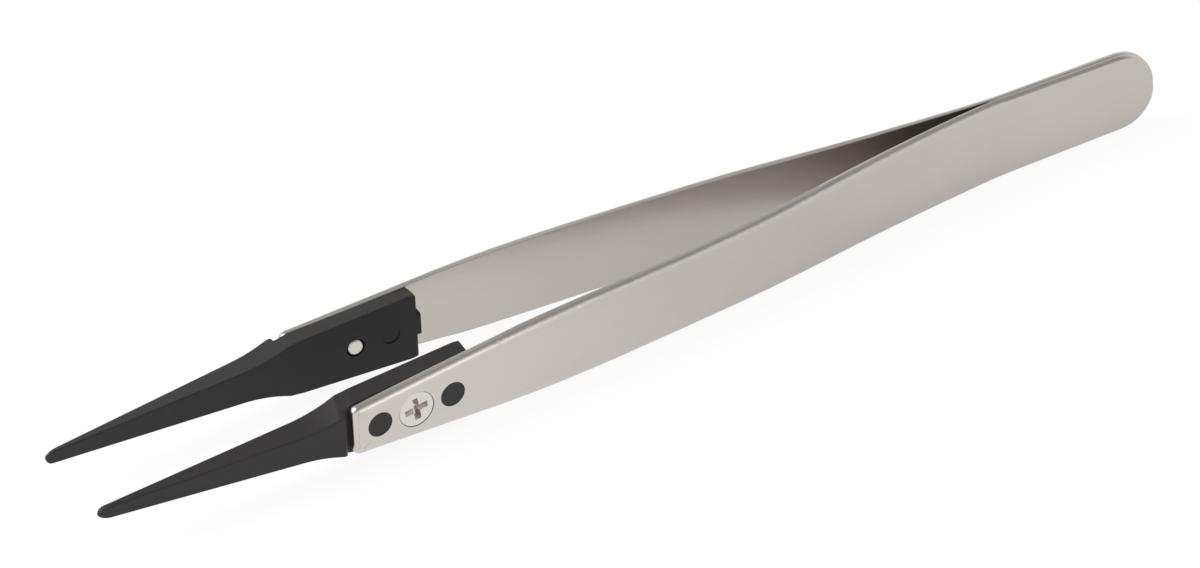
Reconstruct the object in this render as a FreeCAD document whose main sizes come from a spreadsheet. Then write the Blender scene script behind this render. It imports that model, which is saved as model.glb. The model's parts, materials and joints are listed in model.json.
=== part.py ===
# Precision tweezers with replaceable moulded tips.
#
# Two bowed steel leaves are welded face to face at the tail. Each leaf carries a moulded tip
# on its inner side: a plate with two pegs that fill holes in the leaf, held by one countersunk
# screw, and in front of the leaf a shoulder and a tapering finger.
#
# Each half is drawn in its own seat frame: the origin is where the screw's axis meets the
# leaf's flat inner seat, X runs along the seat towards the tail, Y points out of the tweezers
# and Z is up. The far half is turned into place, and the near half is the same three pieces
# turned half a turn about the tweezers' long axis.

import FreeCAD, Part
import math
import os
import re

import Sketcher

Vector = FreeCAD.Vector

# Driving dimensions, in millimetres and degrees.
SIZES = [
    # Where the halves lie
    ("tail_reach", 93.34, "screw axis to the tail end, along the centreline"),
    ("seat_angle", 2.69, "seat face to the centreline, degrees"),
    ("seat_gap", 6.87, "centreline to the seat at the screw"),
    ("weld_reach", 75.34, "screw axis to the front of the weld, along the centreline"),
    # Leaf, seen from the side
    ("seat_front", 7.6, "screw axis to the leaf's front end"),
    ("seat_rear", 9.4, "screw axis to where the bow begins"),
    ("leaf_thick", 1.1, "leaf thickness from the front end to the bow"),
    ("tail_thick", 0.8, "leaf thickness along the weld"),
    ("bow_lead", 7.1, "first stretch of the bow, still in line with the seat"),
    ("bow_high_x", 43.1, "the bow's outer control point, from the screw"),
    ("bow_high_drop", 0.34, "the bow's outer control point, inwards from the seat"),
    ("bow_low_x", 53.4, "the bow's inner control point, from the screw"),
    ("bow_low_drop", 2.25, "the bow's inner control point, inwards from the seat"),
    ("weld_lead", 3.0, "last stretch of the bow, already in line with the weld"),
    # Leaf, seen from above its face
    ("front_half", 3.0, "half width of the leaf at its front corners"),
    ("front_lean", 4.2, "widening of the straight stretch at the seat, degrees"),
    ("front_round", 0.9, "front corner radius"),
    ("grip_lead", 9.8, "first stretch of the waist, still in line with the seat's edge"),
    ("waist_x", 32.5, "the waist's control point, from the screw"),
    ("waist_half", 4.17, "half width of the waist's control point"),
    ("tail_lead", 9.0, "last stretch of the waist, already in line with the tail's edge"),
    ("tail_lean", 1.13, "narrowing of the straight stretch at the weld, degrees"),
    ("tail_half", 4.6, "half width of the leaf at its tail corners"),
    ("tail_round", 4.2, "tail corner radius"),
    ("edge_round", 0.55, "rounding of the leaf's outer edges"),
    # Pegs and screw
    ("peg_spacing", 4.45, "screw axis to each peg's axis"),
    ("peg_radius", 1.42, "peg radius"),
    ("peg_play", 0.04, "radial clearance of a peg in the leaf"),
    ("peg_sink", 0.03, "peg's end below the leaf's outer face"),
    ("head_radius", 2.05, "screw head radius"),
    ("head_rim", 0.12, "straight rim of the screw head"),
    ("head_sink", 0.06, "head's flat below the leaf's outer face"),
    ("head_play", 0.07, "radial clearance round the screw head"),
    ("cone_angle", 49.0, "half angle of the head's cone, degrees"),
    ("shank_radius", 0.95, "screw shank radius"),
    ("shank_play", 0.08, "radial clearance round the shank"),
    ("shank_sink", 0.03, "shank's end below the plate's inner face"),
    ("bore_play", 0.13, "radial clearance of the shank in the plate"),
    ("end_chamfer", 0.17, "chamfer of the shank's end"),
    ("cross_span", 2.75, "cross recess, wing end to wing end"),
    ("cross_width", 0.75, "cross recess, width of a wing"),
    ("cross_depth", 0.75, "cross recess, depth"),
    ("cross_taper", 20.0, "cross recess, draft of its walls, degrees"),
    ("cross_turn", -8.0, "turn of the cross about the screw's axis, degrees"),
    # Moulded tip, seen from the side
    ("plate_rear", 7.44, "screw axis to the plate's rear end"),
    ("plate_thick", 2.18, "plate thickness at the screw"),
    ("grip_angle", 1.59, "inner gripping face to the seat, degrees"),
    ("finger_reach", 36.45, "screw axis to the finger's end"),
    ("finger_end_thick", 0.56, "finger thickness at its end"),
    ("groove", 0.7, "gap between the shoulder and the leaf's front end"),
    ("shoulder_rise", 0.95, "shoulder's rear edge above the seat"),
    ("shoulder_round", 0.4, "rounding of the shoulder's rear edge"),
    # Moulded tip, seen from above its face
    ("finger_end_round", 0.78, "half width of the finger's round end"),
    ("flare_start", 13.3, "screw axis to the start of the flare"),
    ("flare_half", 2.04, "half width where the flare starts, at its widest level"),
    ("shoulder_start", 7.5, "screw axis to the end of the flare"),
    ("shoulder_half", 3.44, "half width at the shoulder, at its widest level"),
    ("plate_half", 4.25, "half width at the plate's rear end, at its widest level"),
    ("plate_round", 0.25, "rear corner radius of the plate"),
    ("mould_draft", 6.0, "draft of the moulding's edges, degrees"),
    # Marks of the moulding
    ("gate_half", 1.35, "half width of the gate's stub on the rear end"),
    ("gate_thick", 1.1, "thickness of the gate's stub"),
    ("gate_inset", 0.15, "gate's stub above the inner face"),
    ("gate_stub", 0.35, "how far the gate's stub stands out"),
    ("eject_x", 4.15, "screw axis to the ejector mark"),
    ("eject_radius", 1.05, "ejector mark radius"),
    ("eject_depth", 0.12, "ejector mark depth"),
]

# Room beyond a shape for the tools that trim it.
TRIM_MARGIN = 3.0

# The kind of cut that runs through everything on both sides.
THROUGH_ALL = 1


def make_sheet(doc):
    """Write the driving dimensions to the spreadsheet, one row each."""
    sheet = doc.addObject("Spreadsheet::Sheet", "sizes")
    for row, (name, size, note) in enumerate(SIZES, start=1):
        sheet.set(f"A{row}", name)
        sheet.set(f"B{row}", str(size))
        sheet.set(f"C{row}", note)
        sheet.setAlias(f"B{row}", name)
    doc.recompute()
    return sheet


NAMES = re.compile(r"\b(" + "|".join(name for name, _, _ in SIZES) + r")\b")


def bound(text):
    """Point each size's name in an expression at its cell."""
    return NAMES.sub(r"sizes.\1", str(text))


def number(sheet, text):
    """Work out an expression on the sizes as a plain number."""
    return float(sheet.evalExpression(bound(text)))


class Profile:
    """A sketch on one of a body's origin planes, its points bound to the sizes."""

    def __init__(self, body, name, role, sheet, offset="0"):
        self.sheet = sheet
        self.sketch = body.newObject("Sketcher::SketchObject", name)
        plane = next(part for part in body.Origin.OriginFeatures if part.Role == role)
        self.sketch.AttachmentSupport = [(plane, "")]
        self.sketch.MapMode = "FlatFace"
        self.sketch.setExpression("AttachmentOffset.Base.z", bound(offset))

    def at(self, point):
        """Give a point's place from its two expressions."""
        across, up = point
        return Vector(number(self.sheet, across), number(self.sheet, up), 0)

    def bind(self, constraint, text):
        """Add a constraint whose datum follows an expression."""
        index = self.sketch.addConstraint(constraint)
        self.sketch.setExpression(f"Constraints[{index}]", bound(text))

    def pin(self, edge, end, point):
        """Fix one end or centre of an edge at a point."""
        across, up = point
        place = self.at(point)
        self.bind(Sketcher.Constraint("DistanceX", -1, 1, edge, end, place.x), across)
        self.bind(Sketcher.Constraint("DistanceY", -1, 1, edge, end, place.y), up)

    def join(self, first, second):
        """Join the end of one edge to the start of the next."""
        self.sketch.addConstraint(Sketcher.Constraint("Coincident", first, 2, second, 1))

    def line(self, start, end):
        """Add a straight edge."""
        return self.sketch.addGeometry(Part.LineSegment(self.at(start), self.at(end)), False)

    def segment(self, start, end):
        """Add a straight edge with both ends pinned."""
        edge = self.line(start, end)
        self.pin(edge, 1, start)
        self.pin(edge, 2, end)

    def polygon(self, points):
        """Add a closed outline of straight edges with every corner pinned."""
        edges = [self.line(start, end) for start, end in zip(points, points[1:] + points[:1])]
        for edge, following, start in zip(edges, edges[1:] + edges[:1], points):
            self.pin(edge, 1, start)
            self.join(edge, following)
        return edges

    def rectangle(self, left, low, right, high):
        """Add a rectangle between two corners."""
        return self.polygon([(left, low), (right, low), (right, high), (left, high)])

    def circle(self, centre, radius):
        """Add a circle with a bound centre and radius."""
        size = number(self.sheet, radius)
        edge = self.sketch.addGeometry(Part.Circle(self.at(centre), Vector(0, 0, 1), size), False)
        self.pin(edge, 3, centre)
        self.bind(Sketcher.Constraint("Radius", edge, size), radius)
        return edge

    def spline(self, poles):
        """Add a cubic curve whose control points are all pinned."""
        places = [self.at(pole) for pole in poles]
        curve = Part.BSplineCurve(places, None, None, False, 3, None, False)
        edge = self.sketch.addGeometry(curve, False)
        handles = []
        for place in places:
            handle = self.sketch.addGeometry(Part.Circle(place, Vector(0, 0, 1), 0.5), True)
            if handles:
                self.sketch.addConstraint(Sketcher.Constraint("Equal", handles[0], handle))
            else:
                self.sketch.addConstraint(Sketcher.Constraint("Weight", handle, 1.0))
            handles.append(handle)
        for count, (handle, pole) in enumerate(zip(handles, poles)):
            role = "InternalAlignment:Sketcher::BSplineControlPoint"
            self.sketch.addConstraint(Sketcher.Constraint(role, handle, 3, edge, count))
            self.pin(handle, 3, pole)
        return edge

    def arc(self, start, middle, end):
        """Add an arc through three points, with its ends and its radius bound by them."""
        ring = Part.Arc(self.at(start), self.at(middle), self.at(end)).toShape().Curve
        turn = {}
        for key, point in (("start", start), ("middle", middle), ("end", end)):
            spoke = self.at(point) - ring.Center
            turn[key] = math.atan2(spoke.y, spoke.x)
        sweep = (turn["end"] - turn["start"]) % math.tau
        leftward = (turn["middle"] - turn["start"]) % math.tau < sweep
        first, last, ends = ("start", "end", (1, 2)) if leftward else ("end", "start", (2, 1))
        circle = Part.Circle(ring.Center, Vector(0, 0, 1), ring.Radius)
        shape = Part.ArcOfCircle(circle, turn[first], turn[last])
        edge = self.sketch.addGeometry(shape, False)
        self.pin(edge, ends[0], start)
        self.pin(edge, ends[1], end)
        mark = self.sketch.addGeometry(Part.Point(self.at(middle)), True)
        self.pin(mark, 1, middle)
        self.sketch.addConstraint(Sketcher.Constraint("PointOnObject", mark, 1, edge))
        return edge


def feature(body, kind, name, profile=None, **settings):
    """Add a feature to a body; text settings are expressions, the others are plain."""
    item = body.newObject(kind, name)
    if profile is not None:
        item.Profile = profile.sketch
        profile.sketch.Visibility = False
    for key, setting in settings.items():
        if isinstance(setting, str):
            item.setExpression(key, bound(setting))
        else:
            setattr(item, key, setting)
    body.Document.recompute()
    return item


# Places that several pieces share, as expressions on the sizes.
WELD_X = "(weld_reach * cos(seat_angle) + seat_gap * sin(seat_angle))"
WELD_Y = "(weld_reach * sin(seat_angle) - seat_gap * cos(seat_angle))"
TAIL_X = "(tail_reach * cos(seat_angle) + seat_gap * sin(seat_angle))"
TAIL_Y = "(tail_reach * sin(seat_angle) - seat_gap * cos(seat_angle))"
SHOULDER_X = "(seat_front + groove)"


def inner_face(across):
    """Give the moulding's inner face at a distance from the screw, as an expression."""
    return f"(-plate_thick + ({across}) * tan(grip_angle))"


def leaf_side(body, sheet):
    """Draw the leaf's side: straight seat, bow, straight weld."""
    side = Profile(body, "LeafSide", "XY_Plane", sheet)
    lead_x = f"{WELD_X} - weld_lead * cos(seat_angle)"
    lead_y = f"{WELD_Y} - weld_lead * sin(seat_angle)"
    lift_x = "- tail_thick * sin(seat_angle)"
    lift_y = "+ tail_thick * cos(seat_angle)"
    front_in = ("-seat_front", "0")
    front_out = ("-seat_front", "leaf_thick")
    tail_in = (TAIL_X, TAIL_Y)
    tail_out = (TAIL_X + lift_x, TAIL_Y + lift_y)
    inner = [
        ("seat_rear", "0"),
        ("seat_rear + bow_lead", "0"),
        ("bow_high_x", "-bow_high_drop"),
        ("bow_low_x", "-bow_low_drop"),
        (lead_x, lead_y),
        (WELD_X, WELD_Y),
    ]
    outer = [
        (WELD_X + lift_x, WELD_Y + lift_y),
        (lead_x + lift_x, lead_y + lift_y),
        ("bow_low_x", "leaf_thick - bow_low_drop"),
        ("bow_high_x", "leaf_thick - bow_high_drop"),
        ("seat_rear + bow_lead", "leaf_thick"),
        ("seat_rear", "leaf_thick"),
    ]
    edges = [
        side.line(front_in, inner[0]),
        side.spline(inner),
        side.line(inner[-1], tail_in),
        side.line(tail_in, tail_out),
        side.line(tail_out, outer[0]),
        side.spline(outer),
        side.line(outer[-1], front_out),
        side.line(front_out, front_in),
    ]
    for edge, following in zip(edges, edges[1:] + edges[:1]):
        side.join(edge, following)
    side.pin(edges[0], 1, front_in)
    side.pin(edges[2], 2, tail_in)
    side.pin(edges[4], 1, tail_out)
    side.pin(edges[7], 1, front_out)
    return side


def leaf_outline(body, sheet):
    """Draw what is trimmed away round the leaf's face."""
    trim = Profile(body, "LeafOutline", "XZ_Plane", sheet)
    reach = f"tail_half + {TRIM_MARGIN}"
    trim.rectangle(f"-seat_front - {TRIM_MARGIN}", f"-({reach})", f"{TAIL_X} + {TRIM_MARGIN}", reach)
    front_x = "-seat_front + front_round * (1 - sin(front_lean))"
    front_z = "front_half - front_round * (1 - cos(front_lean))"
    grip_z = f"{front_z} + (seat_rear - ({front_x})) * tan(front_lean)"
    front_mid = ("-seat_front + front_round * (1 - cos(45))", "front_half - front_round * (1 - sin(45))")
    tail_x = f"{TAIL_X} - tail_round * (1 - sin(tail_lean))"
    tail_z = "tail_half - tail_round * (1 - cos(tail_lean))"
    run_x = f"({WELD_X} - tail_thick * sin(seat_angle))"
    run_z = f"{tail_z} + ({tail_x} - {run_x}) * tan(tail_lean)"
    tail_mid = (f"{TAIL_X} - tail_round * (1 - cos(45))", "tail_half - tail_round * (1 - sin(45))")
    for sign in ("", "-"):
        def mirrored(point):
            return (point[0], f"{sign}({point[1]})")
        corner = mirrored(("-seat_front", "front_half - front_round"))
        front = mirrored((front_x, front_z))
        grip = mirrored(("seat_rear", grip_z))
        run = mirrored((run_x, run_z))
        tail = mirrored((tail_x, tail_z))
        end = mirrored((TAIL_X, "tail_half - tail_round"))
        trim.arc(corner, mirrored(front_mid), front)
        trim.segment(front, grip)
        trim.spline([
            grip,
            mirrored(("seat_rear + grip_lead", f"{grip_z} + grip_lead * tan(front_lean)")),
            mirrored(("waist_x", "waist_half")),
            mirrored((f"{run_x} - tail_lead", f"{run_z} + tail_lead * tan(tail_lean)")),
            run,
        ])
        trim.segment(run, tail)
        trim.arc(tail, mirrored(tail_mid), end)
    low_front = ("-seat_front", "-(front_half - front_round)")
    high_front = ("-seat_front", "front_half - front_round")
    low_tail = (TAIL_X, "-(tail_half - tail_round)")
    high_tail = (TAIL_X, "tail_half - tail_round")
    trim.segment(low_front, high_front)
    trim.segment(low_tail, high_tail)
    return trim


def edges_where(shape, test, samples=5):
    """List the names of the edges whose points all pass a test."""
    names = []
    for count, edge in enumerate(shape.Edges, start=1):
        first, last = edge.FirstParameter, edge.LastParameter
        steps = [first + (last - first) * (step + 0.5) / samples for step in range(samples)]
        if all(test(edge.valueAt(step)) for step in steps):
            names.append(f"Edge{count}")
    return names


def edges_on(shape, faces):
    """List the edges along the border of some faces, without the seams between them."""
    def on_one_face(point):
        vertex = Part.Vertex(point)
        return sum(face.distToShape(vertex)[0] < 1e-4 for face in faces) == 1
    return edges_where(shape, on_one_face)


def make_leaf(doc, sheet, label):
    """Make one leaf: a bowed strip trimmed to its outline, rounded, and bored at its seat."""
    body = doc.addObject("PartDesign::Body", label)
    body.Label = label
    side = leaf_side(body, sheet)
    strip = feature(body, "PartDesign::Pad", "Strip", side, Midplane=True,
                    Length=f"2 * (tail_half + {TRIM_MARGIN / 2})")
    outline = leaf_outline(body, sheet)
    trimmed = feature(body, "PartDesign::Pocket", "Trim", outline, Type=THROUGH_ALL, Midplane=True)

    outer = [face for face in strip.Shape.Faces if face.normalAt(0, 0).y > 0.5]
    feature(body, "PartDesign::Fillet", "OuterRounding", Radius="edge_round",
            Base=(trimmed, edges_on(trimmed.Shape, outer)))

    pegs = Profile(body, "PegHoles", "XZ_Plane", sheet)
    for sign in ("", "-"):
        pegs.circle((f"{sign}peg_spacing", "0"), "peg_radius + peg_play")
    feature(body, "PartDesign::Pocket", "PegPocket", pegs, Type=THROUGH_ALL, Midplane=True)

    seat = Profile(body, "ScrewSeat", "XY_Plane", sheet)
    rim_y = "leaf_thick - head_sink - head_rim"
    cone_foot = f"{rim_y} - (head_radius - shank_radius) / tan(cone_angle)"
    seat.polygon([
        ("0", "-1"),
        ("shank_radius + shank_play", "-1"),
        ("shank_radius + shank_play", f"{cone_foot} + shank_play * 0.2"),
        ("head_radius + head_play", f"{rim_y} + head_play * 0.2"),
        ("head_radius + head_play", "leaf_thick + 1"),
        ("0", "leaf_thick + 1"),
    ])
    groove = feature(body, "PartDesign::Groove", "ScrewSeatGroove", seat, Angle=360.0,
                     ReferenceAxis=(seat.sketch, ["V_Axis"]))
    body.Tip = groove
    return body


def tip_outline(body, sheet):
    """Draw the moulding's outline where it is widest, level with the finger's inner end."""
    plan = Profile(body, "TipOutline", "XZ_Plane", sheet, offset=f"-{inner_face('-finger_reach')}")
    run = "(finger_reach - finger_end_round - flare_start)"
    lean = (f"(atan(flare_half / {run})"
            f" - asin(finger_end_round / sqrt({run} * {run} + flare_half * flare_half)))")
    centre_x = "-finger_reach + finger_end_round"
    end_x = f"{centre_x} - finger_end_round * sin({lean})"
    end_z = f"finger_end_round * cos({lean})"
    chord_lean = "atan((shoulder_half - flare_half) / (flare_start - shoulder_start))"
    chord = f"(flare_start - shoulder_start) / cos({chord_lean})"
    sag = f"{chord} / 2 * tan(({chord_lean} - {lean}) / 2)"
    flare_mid = (
        f"-(flare_start + shoulder_start) / 2 + {sag} * sin({chord_lean})",
        f"(flare_half + shoulder_half) / 2 - {sag} * cos({chord_lean})",
    )
    plate_lean = "atan((plate_half - shoulder_half) / (plate_rear + shoulder_start))"
    corner_z = f"plate_half - plate_round * (1 + sin({plate_lean})) / cos({plate_lean})"
    corner_x = f"plate_rear - plate_round * (1 - sin({plate_lean}))"
    corner_top = f"{corner_z} + plate_round * cos({plate_lean})"
    corner_mid = ("plate_rear - plate_round * (1 - cos(45))", f"{corner_z} + plate_round * sin(45)")
    top = {}
    for sign in ("", "-"):
        def mirrored(across, up):
            return (across, f"{sign}({up})")
        tangent = mirrored(end_x, end_z)
        flare = mirrored("-flare_start", "flare_half")
        shoulder = mirrored("-shoulder_start", "shoulder_half")
        bend = mirrored(corner_x, corner_top)
        rear = mirrored("plate_rear", corner_z)
        plan.segment(tangent, flare)
        plan.arc(flare, mirrored(*flare_mid), shoulder)
        plan.segment(shoulder, bend)
        plan.arc(bend, mirrored(*corner_mid), rear)
        top[sign] = (tangent, rear)
    plan.arc(top[""][0], ("-finger_reach", "0"), top["-"][0])
    plan.segment(top["-"][1], top[""][1])
    return plan


def tip_side(body, sheet):
    """Draw what is trimmed away round the moulding's side: finger, shoulder, groove, plate."""
    trim = Profile(body, "TipSide", "XY_Plane", sheet)
    tip_x = f"-finger_reach - {TRIM_MARGIN / 2}"
    rear_x = f"plate_rear + {TRIM_MARGIN / 2}"
    low = f"{inner_face('-finger_reach')} - {TRIM_MARGIN}"
    high = f"shoulder_rise + {TRIM_MARGIN}"
    trim.rectangle(f"-finger_reach - {TRIM_MARGIN}", low, f"plate_rear + {TRIM_MARGIN}", high)
    end_top = f"({inner_face('-finger_reach')} + finger_end_thick)"
    slope = f"(shoulder_rise - {end_top}) / (finger_reach - {SHOULDER_X})"
    lean = f"atan({slope})"
    wall_top = (f"-{SHOULDER_X}", "shoulder_rise - shoulder_round")
    round_mid = (f"-{SHOULDER_X} - shoulder_round * (1 - cos(45))",
                 "shoulder_rise - shoulder_round * (1 - sin(45))")
    round_end = (f"-{SHOULDER_X} - shoulder_round * (1 + sin({lean}))",
                 f"shoulder_rise - shoulder_round * (1 - cos({lean}))")
    corners = [
        round_end,
        (tip_x, f"{end_top} - {TRIM_MARGIN / 2} * {slope}"),
        (tip_x, inner_face(tip_x)),
        (rear_x, inner_face(rear_x)),
        (rear_x, "0"),
        (f"-{SHOULDER_X}", "0"),
        wall_top,
    ]
    for start, finish in zip(corners, corners[1:]):
        trim.segment(start, finish)
    trim.arc(wall_top, round_mid, round_end)
    return trim


def make_tip(doc, sheet, label):
    """Make one moulded tip: plate, pegs, shoulder and finger, with the moulding's marks."""
    body = doc.addObject("PartDesign::Body", label)
    body.Label = label
    plan = tip_outline(body, sheet)
    feature(body, "PartDesign::Pad", "Moulding", plan, Reversed=True, TaperAngle="-mould_draft",
            Length=f"shoulder_rise - {inner_face('-finger_reach')} + {TRIM_MARGIN / 2}")
    side = tip_side(body, sheet)
    feature(body, "PartDesign::Pocket", "SideTrim", side, Type=THROUGH_ALL, Midplane=True)

    pegs = Profile(body, "Pegs", "XZ_Plane", sheet)
    for sign in ("", "-"):
        pegs.circle((f"{sign}peg_spacing", "0"), "peg_radius")
    feature(body, "PartDesign::Pad", "PegPad", pegs, Length="leaf_thick - peg_sink", Reversed=True)

    bore = Profile(body, "ScrewBore", "XZ_Plane", sheet)
    bore.circle(("0", "0"), "shank_radius + bore_play")
    feature(body, "PartDesign::Pocket", "ScrewPocket", bore, Type=THROUGH_ALL, Midplane=True)

    stub = Profile(body, "GateStub", "YZ_Plane", sheet, offset="plate_rear - gate_stub")
    stub_low = f"{inner_face('plate_rear')} + gate_inset"
    stub.rectangle(stub_low, "-gate_half", f"{stub_low} + gate_thick", "gate_half")
    feature(body, "PartDesign::Pad", "GatePad", stub, Length="2 * gate_stub")

    mark = Profile(body, "EjectorMark", "XZ_Plane", sheet,
                   offset=f"-{inner_face('eject_x')} - eject_depth")
    mark.circle(("eject_x", "0"), "eject_radius")
    last = feature(body, "PartDesign::Pocket", "EjectorPocket", mark, Length="1", Reversed=True)
    body.Tip = last
    return body


def make_screw(doc, sheet, label):
    """Make one countersunk screw with a chamfered end and a cross recess."""
    body = doc.addObject("PartDesign::Body", label)
    body.Label = label
    half = Profile(body, "ScrewHalf", "XY_Plane", sheet)
    top = "leaf_thick - head_sink"
    rim = f"{top} - head_rim"
    foot = f"{rim} - (head_radius - shank_radius) / tan(cone_angle)"
    apex = f"{inner_face('0')} + shank_sink"
    half.polygon([
        ("0", apex),
        ("shank_radius - end_chamfer", apex),
        ("shank_radius", f"{apex} + end_chamfer"),
        ("shank_radius", foot),
        ("head_radius", rim),
        ("head_radius", top),
        ("0", top),
    ])
    turned = feature(body, "PartDesign::Revolution", "Turned", half, Angle=360.0,
                     ReferenceAxis=(half.sketch, ["V_Axis"]))

    cross = Profile(body, "Cross", "XZ_Plane", sheet, offset=f"-({top})")
    corners = []
    for quarter in range(4):
        turn = f"(cross_turn + {90 * quarter})"
        for along, aside in (("cross_span", "-cross_width"), ("cross_span", "cross_width"),
                             ("cross_width", "cross_width")):
            corners.append((f"({along} * cos{turn} - ({aside}) * sin{turn}) / 2",
                            f"({along} * sin{turn} + ({aside}) * cos{turn}) / 2"))
    cross.polygon(corners)
    recess = feature(body, "PartDesign::Pocket", "CrossPocket", cross, Length="cross_depth",
                     Reversed=True, TaperAngle="-cross_taper")
    if recess.Shape.Volume > turned.Shape.Volume - 0.1:
        raise RuntimeError("the cross recess cuts nothing")
    body.Tip = recess
    return body


def place(body, sheet, near, half_height):
    """Turn a piece from its seat frame into place in the far or the near half."""
    tip_back = f"(finger_reach * cos(seat_angle) - {inner_face('-finger_reach')} * sin(seat_angle))"
    across = f"({tip_back} - tail_reach) / 2"
    turn = "rotation(vector(0; 0; 1); -seat_angle)"
    side = ""
    if near:
        turn = f"rotation(vector(1; 0; 0); 180) * {turn}"
        side = "-"
    body.setExpression(
        "Placement", bound(f"placement(vector({across}; {side}seat_gap; {half_height}); {turn})"))


def check(doc, pieces):
    """Stop if any object failed or any piece is not one valid solid."""
    for item in doc.Objects:
        if "Invalid" in item.State or "Error" in item.State:
            raise RuntimeError(f"{item.Name} failed: {item.State}")
    for piece in pieces:
        shape = piece.Shape
        if shape.isNull() or not shape.isValid() or len(shape.Solids) != 1:
            raise RuntimeError(f"{piece.Label} is not one valid solid")


def main():
    """Build both halves, check every object and write each piece's file."""
    doc = FreeCAD.newDocument("tweezers")
    sheet = make_sheet(doc)
    pieces = []
    for half in ("far", "near"):
        leaf = make_leaf(doc, sheet, f"{half}_arm")
        half_height = leaf.Shape.BoundBox.ZMax
        tip = make_tip(doc, sheet, f"{half}_tip")
        screw = make_screw(doc, sheet, f"{half}_screw")
        for piece in (leaf, tip, screw):
            place(piece, sheet, half == "near", half_height)
            pieces.append(piece)
    doc.recompute()
    check(doc, pieces)
    os.makedirs("parts", exist_ok=True)
    for piece in pieces:
        piece.Shape.exportStep(f"parts/{piece.Label}.step")
        box = piece.Shape.BoundBox
        print(f"{piece.Label}: {piece.Shape.Volume:.2f} mm3, X {box.XMin:.2f} to {box.XMax:.2f}, "
              f"Y {box.YMin:.2f} to {box.YMax:.2f}, Z {box.ZMin:.2f} to {box.ZMax:.2f}")


main()
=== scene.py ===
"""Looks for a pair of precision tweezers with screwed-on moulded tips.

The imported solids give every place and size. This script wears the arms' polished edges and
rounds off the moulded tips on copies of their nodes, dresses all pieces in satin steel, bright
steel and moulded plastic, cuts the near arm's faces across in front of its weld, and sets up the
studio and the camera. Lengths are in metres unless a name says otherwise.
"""

from __future__ import annotations

import json
import logging
import math
from dataclasses import dataclass, field
from enum import Enum
from typing import Callable, Mapping

import bmesh
import bpy
from mathutils import Matrix, Vector

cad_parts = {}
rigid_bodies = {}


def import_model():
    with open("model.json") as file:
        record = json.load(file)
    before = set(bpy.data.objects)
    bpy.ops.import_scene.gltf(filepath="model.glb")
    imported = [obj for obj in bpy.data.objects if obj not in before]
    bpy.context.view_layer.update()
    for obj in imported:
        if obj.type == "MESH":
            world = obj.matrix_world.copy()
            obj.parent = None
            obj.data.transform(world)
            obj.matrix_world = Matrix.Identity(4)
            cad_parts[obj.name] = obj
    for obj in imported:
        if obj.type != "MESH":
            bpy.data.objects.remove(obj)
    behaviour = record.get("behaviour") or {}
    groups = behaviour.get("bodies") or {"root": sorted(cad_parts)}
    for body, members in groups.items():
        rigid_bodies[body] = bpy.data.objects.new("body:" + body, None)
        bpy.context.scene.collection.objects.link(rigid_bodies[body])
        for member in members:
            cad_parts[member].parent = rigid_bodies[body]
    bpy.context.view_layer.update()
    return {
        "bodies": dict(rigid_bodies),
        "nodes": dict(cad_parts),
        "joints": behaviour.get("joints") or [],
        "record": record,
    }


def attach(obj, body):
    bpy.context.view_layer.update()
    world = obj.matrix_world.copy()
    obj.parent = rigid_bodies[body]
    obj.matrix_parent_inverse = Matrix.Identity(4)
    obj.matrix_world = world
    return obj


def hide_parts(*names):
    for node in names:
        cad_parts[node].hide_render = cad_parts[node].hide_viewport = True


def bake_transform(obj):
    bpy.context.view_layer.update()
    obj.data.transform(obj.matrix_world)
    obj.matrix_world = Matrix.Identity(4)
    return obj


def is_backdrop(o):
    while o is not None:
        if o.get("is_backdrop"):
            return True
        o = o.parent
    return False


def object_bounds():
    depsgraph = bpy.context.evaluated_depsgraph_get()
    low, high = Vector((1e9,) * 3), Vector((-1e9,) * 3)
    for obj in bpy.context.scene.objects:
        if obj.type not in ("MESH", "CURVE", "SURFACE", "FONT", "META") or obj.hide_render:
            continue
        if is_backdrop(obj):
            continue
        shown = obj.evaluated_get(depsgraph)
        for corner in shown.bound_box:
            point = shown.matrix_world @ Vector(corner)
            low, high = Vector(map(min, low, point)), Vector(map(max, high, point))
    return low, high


LOG = logging.getLogger("tweezers")
MM = 0.001
WELD_REACH = 0.001 * MM

Colour = tuple[float, float, float]


class Half(Enum):
    """The two halves of the tweezers, named as the frame's bodies are."""

    FAR = "far"
    NEAR = "near"

    @property
    def body(self) -> str:
        """The frame's body that carries this half."""
        return f"{self.value}_half"

    def node(self, part: str) -> str:
        """The frame's node of one part of this half."""
        return f"{self.value}_{part}"


class Slot(Enum):
    """The record's material slots."""

    ARM = "arm_steel"
    TIP = "tip_plastic"
    SCREW = "screw_steel"


class Wire:
    """A shader socket on which Python's operators add Math nodes."""

    def __init__(self, graph: Graph, socket: bpy.types.NodeSocket) -> None:
        """Wrap an output socket of a graph."""
        self.graph = graph
        self.socket = socket

    def _math(self, operation: str, first: Value, second: Value) -> Wire:
        """Add one Math node and give its result."""
        return self.graph.node("ShaderNodeMath", {"operation": operation}, {0: first, 1: second})

    def __add__(self, other: Value) -> Wire:
        """Add a value."""
        return self._math("ADD", self, other)

    __radd__ = __add__

    def __sub__(self, other: Value) -> Wire:
        """Take a value away."""
        return self._math("SUBTRACT", self, other)

    def __rsub__(self, other: Value) -> Wire:
        """Take this from a value."""
        return self._math("SUBTRACT", other, self)

    def __mul__(self, other: Value) -> Wire:
        """Multiply by a value."""
        return self._math("MULTIPLY", self, other)

    __rmul__ = __mul__


Value = Wire | float


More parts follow.
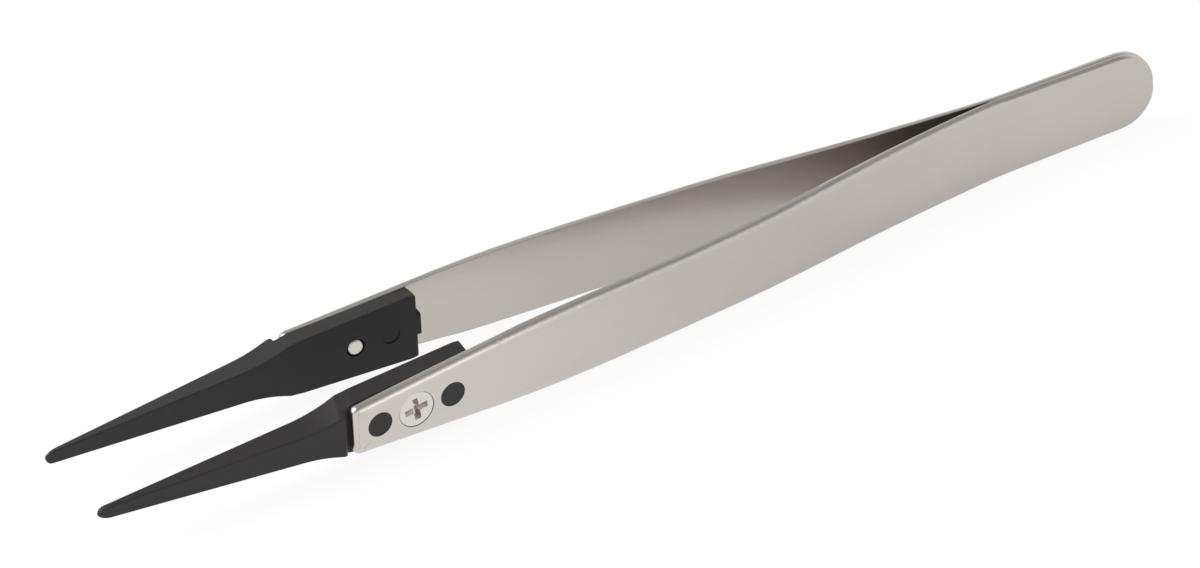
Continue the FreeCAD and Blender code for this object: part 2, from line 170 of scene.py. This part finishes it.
class Graph:
    """The node tree of one material or of the world."""

    def __init__(self, tree: bpy.types.NodeTree) -> None:
        """Empty a node tree and take it over."""
        self.tree = tree
        tree.nodes.clear()

    def node(self, kind: str, settings: Mapping[str, object] | None = None,
             sockets: Mapping[str | int, object] | None = None, out: str | int = 0) -> Wire:
        """Add a node, set it up and wire its inputs.

        Args:
            kind: The node's type.
            settings: Its own properties, or a ramp's stops under "stops".
            sockets: A value or a wire for each input that isn't left at its default.
            out: The output that the returned wire starts from.

        Returns:
            The wire from the chosen output.
        """
        made = self.tree.nodes.new(kind)
        for name, setting in (settings or {}).items():
            if name == "stops":
                self._set_stops(made.color_ramp, setting)
            else:
                setattr(made, name, setting)
        for key, value in (sockets or {}).items():
            if isinstance(value, Wire):
                self.tree.links.new(value.socket, made.inputs[key])
            else:
                made.inputs[key].default_value = value
        return Wire(self, made.outputs[out]) if made.outputs else Wire(self, None)

    @staticmethod
    def _set_stops(ramp: bpy.types.ColorRamp, stops: list[tuple[float, Colour]]) -> None:
        """Give a colour ramp its stops.

        Args:
            ramp: The ramp of a new node.
            stops: Each stop's position and colour, in order.
        """
        while len(ramp.elements) < len(stops):
            ramp.elements.new(1.0)
        for element, (position, colour) in zip(ramp.elements, stops):
            element.position = position
            element.color = (*colour, 1.0)

    def mix(self, share: Value, first: object, second: object) -> Wire:
        """Mix two colours.

        Args:
            share: How much of the second colour there is, from 0 to 1.
            first: The first colour.
            second: The second colour.

        Returns:
            The mixed colour.
        """
        colour_a, colour_b, colour_out = 6, 7, 2
        return self.node("ShaderNodeMix", {"data_type": "RGBA"},
                         {0: share, colour_a: first, colour_b: second}, out=colour_out)

    def noise(self, scale: tuple[float, float, float], detail: float = 2.0,
              roughness: float = 0.5) -> Wire:
        """Add noise on the piece's own coordinates.

        Args:
            scale: Grains for each metre along X, Y and Z.
            detail: Finer layers of the noise.
            roughness: Strength of those layers.

        Returns:
            The noise as a value from 0 to 1.
        """
        place = self.node("ShaderNodeTexCoord", out="Object")
        spread = self.node("ShaderNodeMapping", {}, {"Vector": place, "Scale": scale})
        return self.node("ShaderNodeTexNoise", {},
                         {"Vector": spread, "Scale": 1.0, "Detail": detail, "Roughness": roughness})

    def bump(self, height: Wire, depth: float) -> Wire:
        """Turn a height from 0 to 1 into normals, for a depth in metres."""
        return self.node("ShaderNodeBump", {},
                         {"Height": height, "Strength": 1.0, "Distance": depth})


@dataclass(frozen=True)
class Finish:
    """A surface finish, made once and shared by the pieces that have it."""

    name: str
    colour: Colour
    roughness: float

    def _dress(self, graph: Graph) -> dict[str, object]:
        """Give the shader's inputs that this finish sets."""
        raise NotImplementedError

    def material(self) -> bpy.types.Material:
        """Make the material, or find it if it is made already."""
        found = bpy.data.materials.get(self.name)
        if found is not None:
            return found
        made = bpy.data.materials.new(self.name)
        made.use_nodes = True
        graph = Graph(made.node_tree)
        shader = graph.node("ShaderNodeBsdfPrincipled", {}, self._dress(graph))
        graph.node("ShaderNodeOutputMaterial", {}, {"Surface": shader})
        return made


@dataclass(frozen=True)
class SatinSteel(Finish):
    """Fine satin steel: a soft grain along the arms over a blasted surface."""

    streak: float = 0.035
    streak_grain: tuple[float, float, float] = (90.0, 5200.0, 5200.0)
    cloud_grain: float = 160.0
    fine_grain: float = 9000.0
    grain_depth: float = 0.0006 * MM

    def _dress(self, graph: Graph) -> dict[str, object]:
        """Give colour, roughness and normals their grain.

        Args:
            graph: The material's node tree.

        Returns:
            The shader's inputs by name.
        """
        streaks = graph.noise(self.streak_grain, detail=3.0)
        clouds = graph.noise((self.cloud_grain,) * 3, detail=2.0)
        grains = graph.noise((self.fine_grain,) * 3, detail=1.0)
        share = 0.5 + (streaks - 0.5) * 1.2 + (clouds - 0.5) * 0.6
        dark = tuple(part * (1.0 - self.streak) for part in self.colour)
        light = tuple(part * (1.0 + self.streak) for part in self.colour)
        return {
            "Base Color": graph.mix(share, (*dark, 1.0), (*light, 1.0)),
            "Metallic": 1.0,
            "Roughness": self.roughness + (clouds - 0.5) * 0.06 + (grains - 0.5) * 0.05,
            "Normal": graph.bump(grains + streaks * 0.5, self.grain_depth),
        }


@dataclass(frozen=True)
class BrightSteel(Finish):
    """Turned bright steel of the screws."""

    pit_grain: float = 7000.0
    pit_tone: float = 0.9
    grain_depth: float = 0.0008 * MM

    def _dress(self, graph: Graph) -> dict[str, object]:
        """Give colour and normals a faint pitting.

        Args:
            graph: The material's node tree.

        Returns:
            The shader's inputs by name.
        """
        grains = graph.noise((self.pit_grain,) * 3, detail=2.0)
        dark = tuple(part * self.pit_tone for part in self.colour)
        return {
            "Base Color": graph.mix(grains, (*dark, 1.0), (*self.colour, 1.0)),
            "Metallic": 1.0,
            "Roughness": self.roughness,
            "Normal": graph.bump(grains, self.grain_depth),
        }


@dataclass(frozen=True)
class MouldedPlastic(Finish):
    """Black moulded plastic with a fine spark-eroded grain."""

    mould_grain: float = 4200.0
    cloud_grain: float = 420.0
    tones: tuple[float, float] = (0.8, 1.25)
    grain_depth: float = 0.004 * MM
    shine: float = 0.28

    def _dress(self, graph: Graph) -> dict[str, object]:
        """Give colour, roughness and normals the mould's grain.

        Args:
            graph: The material's node tree.

        Returns:
            The shader's inputs by name.
        """
        grains = graph.noise((self.mould_grain,) * 3, detail=3.0, roughness=0.6)
        clouds = graph.noise((self.cloud_grain,) * 3, detail=2.0)
        dark, light = (tuple(part * tone for part in self.colour) for tone in self.tones)
        return {
            "Base Color": graph.mix(grains * 0.6 + clouds * 0.4, (*dark, 1.0), (*light, 1.0)),
            "Roughness": self.roughness + (clouds - 0.5) * 0.12,
            "Specular IOR Level": self.shine,
            "Normal": graph.bump(grains, self.grain_depth),
        }


ARM_STEEL = SatinSteel("satin_steel", (0.56, 0.525, 0.49), 0.30)
SCREW_STEEL = BrightSteel("bright_steel", (0.66, 0.63, 0.60), 0.22)
TIP_PLASTIC = MouldedPlastic("moulded_plastic", (0.022, 0.0198, 0.0202), 0.5)


@dataclass(frozen=True)
class Seat:
    """One half's seat: where the screw's axis meets the arm's flat inner face."""

    half: Half
    screw_x: float = -28.39 * MM
    gap: float = 6.87 * MM
    lean: float = math.radians(2.69)
    middle: float = 4.92 * MM

    @property
    def side(self) -> float:
        """The sign of Y on this half."""
        return 1.0 if self.half is Half.FAR else -1.0

    def local(self, place: Vector) -> tuple[float, float, float]:
        """Give a place as lengths on the seat.

        Args:
            place: The place.

        Returns:
            The lengths along the seat from the screw, out from its face and up from its middle.
        """
        across = place.x - self.screw_x
        away = place.y * self.side - self.gap
        along = across * math.cos(self.lean) - away * math.sin(self.lean)
        outwards = across * math.sin(self.lean) + away * math.cos(self.lean)
        return along, outwards, place.z - self.middle


def merged(source: bpy.types.Object, flat_angle: float,
           whole: Callable[[bmesh.types.BMFace], bool] | None = None) -> bmesh.types.BMesh:
    """Copy a node's loose triangles into one mesh, with its flat faces whole.

    Args:
        source: The node in the frame.
        flat_angle: Faces that meet at less than this become one.
        whole: Tells the faces that may be joined, or None for all of them.

    Returns:
        The new mesh, to be shaped further.
    """
    form = bmesh.new()
    form.from_mesh(source.data)
    bmesh.ops.remove_doubles(form, verts=form.verts, dist=WELD_REACH)
    flat = [edge for edge in form.edges
            if whole is None or all(whole(face) for face in edge.link_faces)]
    bmesh.ops.dissolve_limit(form, angle_limit=flat_angle, verts=[], edges=flat)
    return form


def finished(form: bmesh.types.BMesh, name: str, sharp_angle: float) -> bpy.types.Object:
    """Turn a shaped mesh into a smooth piece with even shading.

    Args:
        form: The mesh, which is used up.
        name: The piece's name.
        sharp_angle: Faces that meet at more than this keep a sharp edge.

    Returns:
        The piece, in the scene.
    """
    for edge in form.edges:
        edge.smooth = len(edge.link_faces) == 2 and edge.calc_face_angle() < sharp_angle
    for face in form.faces:
        face.smooth = True
    mesh = bpy.data.meshes.new(name)
    form.to_mesh(mesh)
    form.free()
    piece = bpy.data.objects.new(name, mesh)
    bpy.context.scene.collection.objects.link(piece)
    evened = piece.modifiers.new("even_shading", "WEIGHTED_NORMAL")
    evened.keep_sharp = True
    return piece


@dataclass
class Arms:
    """The two steel arms; the near one's faces are cut across in front of its weld."""

    frame: Mapping[str, Mapping[str, bpy.types.Object]]
    flat_angle: float = math.radians(0.3)
    sharp_angle: float = math.radians(35)
    rounding: float = 0.55 * MM
    rounding_slack: float = 0.02 * MM
    rounding_rise: float = 0.03 * MM
    holes_reach: float = 6.5 * MM
    holes_half: float = 2.2 * MM
    worn: tuple[tuple[float, float], ...] = (
        (-37.0, 0.7), (-35.0, 0.8), (-33.8, 1.1), (-25.0, 1.2), (8.0, 1.15), (20.0, 1.0),
        (37.0, 0.8), (47.0, 0.62), (56.0, 0.4), (61.0, 0.28), (66.0, 0.25))
    seat_cuts: tuple[float, ...] = (-34.8, -33.8, -31.0, -28.4, -25.0, -22.0)
    inner_bevel: float = 0.09 * MM
    bend_start: float = 44 * MM
    bend_end: float = 23 * MM
    bend_step: float = 1.0 * MM

    def make(self) -> None:
        """Make both arms, and cut the near one's faces across in front of its weld."""
        for half in Half:
            form = self._worn_form(Seat(half))
            if half is Half.NEAR:
                self._cut_across(form)
            piece = finished(form, f"{half.value}_arm_worn", self.sharp_angle)
            dress(piece, ARM_STEEL)
            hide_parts(half.node("arm"))
            if half is Half.NEAR:
                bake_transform(piece)
            else:
                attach(piece, half.body)
            LOG.info("%s arm: %d faces", half.value, len(piece.data.polygons))

    def _worn_form(self, seat: Seat) -> bmesh.types.BMesh:
        """Copy an arm, widen its outer rounding to the polished edge, break its inner edge.

        Args:
            seat: The seat of the arm's half.

        Returns:
            The arm's mesh.
        """
        source = self.frame["nodes"][seat.half.node("arm")]
        form = merged(source, self.flat_angle, self._is_plain)
        for place in self.seat_cuts:
            cut_across(form, place * MM)
        rim = [edge for edge in form.edges if self._on_rim(edge, seat)]
        outline = [tuple(vert.co.copy() for vert in edge.verts) for edge in rim]
        for vert in form.verts:
            if self._near_holes(vert.co, seat):
                continue
            foot, reach = nearest(outline, vert.co)
            rise = (vert.co.y - foot.y) * seat.side
            if rise > self.rounding_rise and reach < self.rounding + self.rounding_slack:
                stretch = self._width(vert.co.x) / self.rounding - 1.0
                move_x = (vert.co.x - foot.x) * stretch
                slope = -math.tan(seat.lean) * seat.side if seat.local(foot)[0] < 0 else 0.0
                vert.co += Vector((move_x, move_x * slope, (vert.co.z - foot.z) * stretch))
        soften(form, rim, self.inner_bevel, segments=2)
        return form

    @staticmethod
    def _is_plain(face: bmesh.types.BMFace) -> bool:
        """Tell whether a face is part of a flat side or of an upright wall."""
        wall, side = 0.02, 0.998
        return not wall < abs(face.normal.y) < side

    def _near_holes(self, place: Vector, seat: Seat) -> bool:
        """Tell whether a place is at the peg holes or the screw."""
        along, _, up = seat.local(place)
        return abs(along) < self.holes_reach and abs(up) < self.holes_half

    def _on_rim(self, edge: bmesh.types.BMEdge, seat: Seat) -> bool:
        """Tell whether an edge borders the arm's inner face.

        Args:
            edge: The edge.
            seat: The seat of the arm's half.

        Returns:
            True for an edge between the inner face and the wall round it.
        """
        middle = (edge.verts[0].co + edge.verts[1].co) / 2
        if len(edge.link_faces) != 2 or self._near_holes(middle, seat):
            return False
        inner_below, wall_above = -0.9, -0.5
        facing = sorted(face.normal.y * seat.side for face in edge.link_faces)
        return facing[0] < inner_below and facing[1] > wall_above

    def _width(self, across: float) -> float:
        """Give the width of the worn outer edge at a place along the arm.

        Args:
            across: The place along X.

        Returns:
            The width.
        """
        place = across / MM
        for (low, first), (high, second) in zip(self.worn, self.worn[1:]):
            if place <= high:
                share = max(0.0, (place - low) / (high - low))
                return (first + (second - first) * share) * MM
        return self.worn[-1][1] * MM

    def _cut_across(self, form: bmesh.types.BMesh) -> None:
        """Cut the faces across along the stretch that bends.

        Args:
            form: The arm's mesh.
        """
        cuts = round((self.bend_start - self.bend_end) / self.bend_step)
        for cut in range(cuts + 1):
            cut_across(form, self.bend_end + cut * self.bend_step)


def soften(form: bmesh.types.BMesh, edges: list[bmesh.types.BMEdge], width: float,
           segments: int) -> None:
    """Round off some edges of a mesh.

    Args:
        form: The mesh.
        edges: The edges to round off.
        width: How far the rounding reaches into the faces.
        segments: The faces across the rounding.
    """
    bmesh.ops.bevel(form, geom=edges, offset=width, offset_type="OFFSET", segments=segments,
                    profile=0.5, affect="EDGES", material=-1)


def cut_across(form: bmesh.types.BMesh, place: float) -> None:
    """Cut a mesh's faces across.

    Args:
        form: The mesh.
        place: The place of the cut along X.
    """
    every = [*form.verts, *form.edges, *form.faces]
    bmesh.ops.bisect_plane(form, geom=every, plane_co=(place, 0.0, 0.0),
                           plane_no=(1.0, 0.0, 0.0))


def nearest(outline: list[tuple[Vector, Vector]], place: Vector) -> tuple[Vector, float]:
    """Find the point of an outline that is nearest to a place, as seen along Y.

    Args:
        outline: The outline's straight stretches.
        place: The place.

    Returns:
        The nearest point, and how far it is from the place across the view.
    """
    best, reach = outline[0][0], math.inf
    for start, end in outline:
        run_x, run_z = end.x - start.x, end.z - start.z
        length = run_x * run_x + run_z * run_z
        if length == 0.0:
            continue
        share = ((place.x - start.x) * run_x + (place.z - start.z) * run_z) / length
        foot = start.lerp(end, min(1.0, max(0.0, share)))
        gap = math.hypot(place.x - foot.x, place.z - foot.z)
        if gap < reach:
            best, reach = foot, gap
    return best, reach


@dataclass
class Tips:
    """The two moulded tips, with the soft edges that the mould leaves."""

    frame: Mapping[str, Mapping[str, bpy.types.Object]]
    flat_angle: float = math.radians(0.8)
    sharp_angle: float = math.radians(38)
    soft_angle: float = math.radians(30)
    edge_round: float = 0.19 * MM
    seat_slack: float = 0.02 * MM
    rear_slack: float = 0.03 * MM
    plate_rear: float = 7.44 * MM
    shoulder: float = -7.9 * MM
    ejector_x: float = 4.15 * MM
    mark_reach: float = 1.2 * MM

    def make(self) -> None:
        """Round off and dress both tips."""
        for half in Half:
            seat = Seat(half)
            form = merged(self.frame["nodes"][half.node("tip")], self.flat_angle)
            soft = [edge for edge in form.edges if self._is_soft(edge, seat)]
            soften(form, soft, self.edge_round, segments=3)
            piece = finished(form, f"{half.value}_tip_moulding", self.sharp_angle)
            dress(piece, TIP_PLASTIC)
            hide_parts(half.node("tip"))
            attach(piece, half.body)
            LOG.info("%s tip: %d faces", half.value, len(piece.data.polygons))

    def _is_soft(self, edge: bmesh.types.BMEdge, seat: Seat) -> bool:
        """Tell whether an edge of the moulding is one of its rounded outer edges.

        Args:
            edge: The edge.
            seat: The seat of the tip's half.

        Returns:
            True for a sharp outward edge that lies neither on the arm nor round a mark.
        """
        if len(edge.link_faces) != 2 or not edge.is_convex:
            return False
        if edge.calc_face_angle() < self.soft_angle:
            return False
        ends = [seat.local(vert.co) for vert in edge.verts]
        kept_sharp = (
            lambda along, out, up: abs(out) < self.seat_slack,
            lambda along, out, up: along > self.plate_rear - self.rear_slack,
            lambda along, out, up: out > -self.seat_slack and along > self.shoulder,
            lambda along, out, up: math.hypot(along, up) < self.mark_reach,
            lambda along, out, up: math.hypot(along - self.ejector_x, up) < self.mark_reach,
        )
        return not any(all(test(*end) for end in ends) for test in kept_sharp)


@dataclass
class Screws:
    """The two countersunk screws."""

    frame: Mapping[str, Mapping[str, bpy.types.Object]]

    def make(self) -> None:
        """Dress both screws."""
        for half in Half:
            dress(self.frame["nodes"][half.node("screw")], SCREW_STEEL)
        LOG.info("screws: dressed")


def dress(piece: bpy.types.Object, finish: Finish) -> None:
    """Give a piece its only material.

    Args:
        piece: The piece.
        finish: Its finish.
    """
    piece.data.materials.clear()
    piece.data.materials.append(finish.material())


@dataclass
class Lamp:
    """A square soft light that looks at the tweezers."""

    name: str
    toward: tuple[float, float, float]
    distance: float
    size: float
    level: float
    colour: Colour = (1.0, 1.0, 1.0)

    def make(self, target: Vector) -> None:
        """Hang the light up.

        Args:
            target: The point that it faces.
        """
        data = bpy.data.lights.new(self.name, "AREA")
        data.shape = "SQUARE"
        data.size = self.size
        data.energy = self.level * math.pi ** 2 * self.distance ** 2
        data.color = self.colour
        lamp = bpy.data.objects.new(self.name, data)
        away = Vector(self.toward).normalized()
        lamp.location = target + away * self.distance
        lamp.rotation_euler = away.to_track_quat("Z", "Y").to_euler()
        lamp.visible_camera = False
        bpy.context.scene.collection.objects.link(lamp)


@dataclass
class Studio:
    """A white floor under a soft sky, with its lamps.

    The floor is plain white to the camera. Reflections see painted light and shade on it: a
    painted run of brightness along X, lighter towards the tips and darkest along the middle, and
    painted shade from 7 mm in front of the middle backwards. The run lists places in millimetres
    and levels, and two more settings say where along Y the painted shade falls and to what share.
    """

    floor_half: float = 4.0
    floor_tone: float = 0.88
    floor_glow: float = 1.03
    floor_shadow: float = 0.12
    # Painted light and shade on the floor, seen only in reflections: levels along X (painted
    # lighter towards the tips, painted shade along the middle) and painted shade from the middle
    # backwards.
    painted_run_top: float = 1.25
    painted_floor_run: tuple[tuple[float, float], ...] = (
        (-50.0, 1.10), (-33.0, 1.09), (-18.5, 1.08), (-6.5, 1.0), (12.6, 0.86), (27.0, 0.83),
        (36.6, 0.88), (56.0, 0.93))
    painted_shade_span: tuple[float, float] = (-7.0 * MM, 0.0)
    painted_shade_rear: float = 0.89
    sky_low: float = 1.0
    sky_high: float = 0.4
    sky_turn: tuple[float, float] = (0.25, 0.8)
    lamps: list[Lamp] = field(default_factory=lambda: [
        Lamp("left_softbox", (-0.6, 0.3, 0.74), 1.5, 1.1, 0.9),
        Lamp("front_glint", (0.0144, -0.117, 0.011), 0.1186, 0.03, 0.036),
    ])

    def make(self) -> None:
        """Build the floor, the sky and the lamps."""
        low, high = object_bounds()
        self._floor(low.z)
        self._sky()
        for lamp in self.lamps:
            lamp.make((low + high) / 2)
        LOG.info("studio: %d lamps", len(self.lamps))

    def _seen(self, graph: Graph) -> Wire:
        """Tell the rays that show a surface from those that only light the tweezers.

        Args:
            graph: The node tree in which the answer is needed.

        Returns:
            One for a ray that shows a surface, zero for any other.
        """
        camera = graph.node("ShaderNodeLightPath", out="Is Camera Ray")
        glossy = graph.node("ShaderNodeLightPath", out="Is Glossy Ray")
        through = graph.node("ShaderNodeLightPath", out="Is Transmission Ray")
        return camera + glossy + through

    def _floor(self, height: float) -> None:
        """Lay the floor.

        Args:
            height: Its height.
        """
        form = bmesh.new()
        bmesh.ops.create_grid(form, x_segments=1, y_segments=1, size=self.floor_half,
                              matrix=Matrix.Translation((0.0, 0.0, height)))
        mesh = bpy.data.meshes.new("floor")
        form.to_mesh(mesh)
        form.free()
        floor = bpy.data.objects.new("floor", mesh)
        bpy.context.scene.collection.objects.link(floor)
        material = bpy.data.materials.new("white_floor")
        material.use_nodes = True
        graph = Graph(material.node_tree)
        tone = (self.floor_tone,) * 3
        matt = graph.node("ShaderNodeBsdfDiffuse", {}, {"Color": (*tone, 1.0)})
        # The glow's colour carries the painted light and shade that reflections see.
        glow = graph.node("ShaderNodeEmission", {}, {
            "Color": self._painted_floor_light(graph), "Strength": self.floor_glow})
        share = self._seen(graph) * (1.0 - self.floor_shadow)
        surface = graph.node("ShaderNodeMixShader", {}, {0: share, 1: matt, 2: glow})
        graph.node("ShaderNodeOutputMaterial", {}, {"Surface": surface})
        mesh.materials.append(material)
        floor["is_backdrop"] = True

    def _painted_floor_light(self, graph: Graph) -> Wire:
        """Give the floor's brightness: plain white to the camera, painted light and shade in
        reflections.

        Args:
            graph: The floor's node tree.

        Returns:
            The brightness, which is 1 for any ray but a reflected one.
        """
        first, last = self.painted_floor_run[0][0], self.painted_floor_run[-1][0]
        stops = [((place - first) / (last - first), (level / self.painted_run_top,) * 3)
                 for place, level in self.painted_floor_run]
        aim = graph.node("ShaderNodeTexCoord", out="Object")
        across = graph.node("ShaderNodeSeparateXYZ", {}, {0: aim}, out="X")
        share = (across - first * MM) * (1.0 / ((last - first) * MM))
        away = graph.node("ShaderNodeSeparateXYZ", {}, {0: aim}, out="Y")
        # Painted shade: the floor darkens from 7 mm in front of the middle to the middle, and stays
        # darker behind it.
        depth = graph.node("ShaderNodeMapRange", {"interpolation_type": "SMOOTHSTEP"}, {
            "Value": away, "From Min": self.painted_shade_span[0], "From Max": self.painted_shade_span[1],
            "To Min": self.painted_run_top, "To Max": self.painted_run_top * self.painted_shade_rear})
        # Painted light and shade for reflected rays only: the run along X times the painted shade
        # along Y.
        run = graph.node("ShaderNodeValToRGB", {"stops": stops}, {0: share}) * depth
        glossy = graph.node("ShaderNodeLightPath", out="Is Glossy Ray")
        return run * glossy + (1.0 - glossy)

    def _sky(self) -> None:
        """Make the sky: white where the camera sees it, paler low down than overhead."""
        world = bpy.data.worlds.new("soft_sky")
        world.use_nodes = True
        graph = Graph(world.node_tree)
        aim = graph.node("ShaderNodeTexCoord", out="Generated")
        height = graph.node("ShaderNodeSeparateXYZ", {}, {0: aim}, out="Z")
        sky = graph.node("ShaderNodeMapRange", {"interpolation_type": "SMOOTHSTEP"}, {
            "Value": height, "From Min": self.sky_turn[0], "From Max": self.sky_turn[1],
            "To Min": self.sky_low, "To Max": self.sky_high})
        seen = graph.node("ShaderNodeLightPath", out="Is Camera Ray")
        level = sky * (1.0 - seen) + seen
        glow = graph.node("ShaderNodeBackground", {}, {
            "Color": (1.0, 1.0, 1.0, 1.0), "Strength": level})
        graph.node("ShaderNodeOutputWorld", {}, {"Surface": glow})
        bpy.context.scene.world = world


@dataclass
class PhotoCamera:
    """The photograph's camera, as its outlines give it."""

    azimuth: float = math.radians(-27.6803)
    elevation: float = math.radians(36.8770)
    roll: float = math.radians(-3.2664)
    distance: float = 2.8
    target: tuple[float, float, float] = (-1.8563 * MM, 0.0, 5.2782 * MM)
    image_width: int = 1200
    focal_pixels: float = 26807.7
    sensor_mm: float = 36.0
    clip: tuple[float, float] = (0.01, 10.0)

    def make(self) -> None:
        """Set the camera up and make it the scene's."""
        turn, rise = self.azimuth, self.elevation
        back = Vector((math.sin(turn) * math.cos(rise), -math.cos(turn) * math.cos(rise),
                       math.sin(rise)))
        right = Vector((math.cos(turn), math.sin(turn), 0.0))
        over = back.cross(right)
        right_rolled = right * math.cos(self.roll) + over * math.sin(self.roll)
        over_rolled = over * math.cos(self.roll) - right * math.sin(self.roll)
        data = bpy.data.cameras.new("photo_camera")
        data.sensor_width = self.sensor_mm
        data.lens = self.focal_pixels * self.sensor_mm / self.image_width
        data.clip_start, data.clip_end = (self.distance * share for share in self.clip)
        camera = bpy.data.objects.new("photo_camera", data)
        pose = Matrix((right_rolled, over_rolled, back)).transposed().to_4x4()
        pose.translation = Vector(self.target) + back * self.distance
        camera.matrix_world = pose
        bpy.context.scene.collection.objects.link(camera)
        bpy.context.scene.camera = camera
        LOG.info("camera: lens %.1f mm", data.lens)


def main() -> None:
    """Build the looks round the frame."""
    logging.basicConfig(level=logging.INFO, format="%(message)s")
    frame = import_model()
    bpy.context.scene.view_settings.view_transform = "Standard"
    for assembly in (Arms(frame), Tips(frame), Screws(frame), Studio(), PhotoCamera()):
        assembly.make()


if __name__ == "__main__":
    main()
